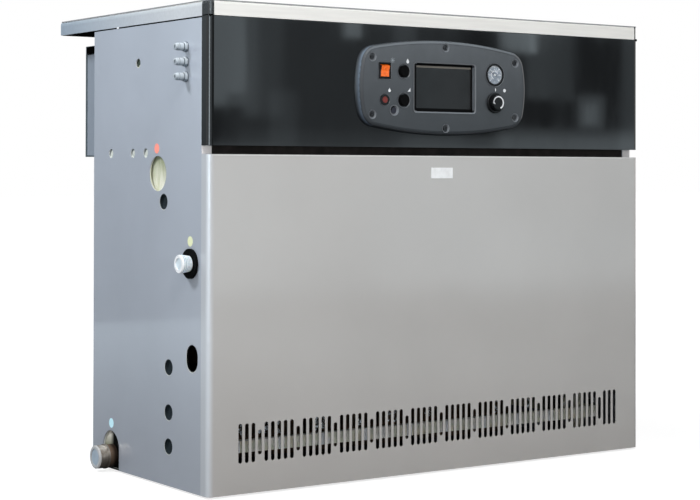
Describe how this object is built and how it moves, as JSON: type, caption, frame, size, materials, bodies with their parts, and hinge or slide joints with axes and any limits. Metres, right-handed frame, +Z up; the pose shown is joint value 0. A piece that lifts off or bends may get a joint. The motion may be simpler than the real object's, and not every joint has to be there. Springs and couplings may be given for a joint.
{
  "type": "floor-standing gas boiler",
  "caption": "Wide floor-standing gas boiler: sheet-metal casing over cast-iron sections, slotted front door, black control fascia, overhanging lid and rear draught hood.",
  "frame": {"origin": "on the floor, under the centre of the casing", "axes": "+X along the casing's width, to the right seen from the front; -Y out of the front; +Z up"},
  "size_m": [1.0635, 0.658, 0.854],
  "materials": {
    "dark_steel": "matt",
    "grey_panel": "satin",
    "galvanised": "spangled",
    "black_paint": "matt",
    "black_plastic": "satin",
    "black_gloss": "gloss",
    "bezel_plastic": "fine texture",
    "screw_steel": "satin",
    "display_glass": "gloss",
    "orange_plastic": "gloss",
    "red_plastic": "gloss",
    "dial_face": "matt",
    "door_paint": "satin",
    "white_plastic": "gloss",
    "cast_iron": "rough",
    "mineral_wool": "fibrous",
    "burner_steel": "dull",
    "brown_paint": "satin",
    "pipe_steel": "dull",
    "black_rubber": "matt",
    "cap_plastic": "translucent",
    "gland_plastic": "satin"
  },
  "bodies": {
    "boiler": {"base_frame": "dark_steel", "left_side_panel": "grey_panel", "right_side_panel": "grey_panel", "rear_panel": "galvanised", "front_crossbar": "black_paint", "lid_rails": "black_paint", "lid": "grey_panel", "lid_end_left": "black_plastic", "lid_end_right": "black_plastic", "control_fascia": "black_gloss", "control_chassis": "dark_steel", "control_bezel": "bezel_plastic", "bezel_screws": "screw_steel", "display_window": "display_glass", "switch_frame": "black_plastic", "limit_cap_upper": "black_plastic", "limit_cap_lower": "black_plastic", "lamp_ring": "black_plastic", "lamp_lens": "red_plastic", "reset_button": "bezel_plastic", "gauge_ring": "black_plastic", "gauge_dial": "dial_face", "front_door": "door_paint", "door_plate": "white_plastic", "boiler_block": "cast_iron", "water_legs": "cast_iron", "block_stand": "dark_steel", "flue_collector": "galvanised", "block_insulation": "mineral_wool", "burner_tubes": "burner_steel", "burner_rail": "galvanised", "gas_manifold": "brown_paint", "gas_pipe": "pipe_steel", "gas_grommet": "black_rubber", "gas_cap": "white_plastic", "return_pipe": "pipe_steel", "return_cap": "cap_plastic", "flow_pipe": "pipe_steel", "cable_gland_upper": "gland_plastic", "cable_gland_middle": "gland_plastic", "cable_gland_lower": "gland_plastic", "draught_hood": "galvanised", "flue_spigot": "galvanised"},
    "knob": {"temperature_knob": "black_plastic"},
    "rocker": {"switch_rocker": "orange_plastic"}
  },
  "joints": [
    {"name": "knob_turn", "type": "hinge", "parent": "boiler", "child": "knob", "pos_m": [0.117, -0.2305, 0.69], "axis": [0, 1, 0], "range_deg": [0, 270]},
    {"name": "switch_tilt", "type": "hinge", "parent": "boiler", "child": "rocker", "pos_m": [-0.14, -0.2255, 0.743], "axis": [-1, 0, 0], "range_deg": [0, 20]}
  ]
}
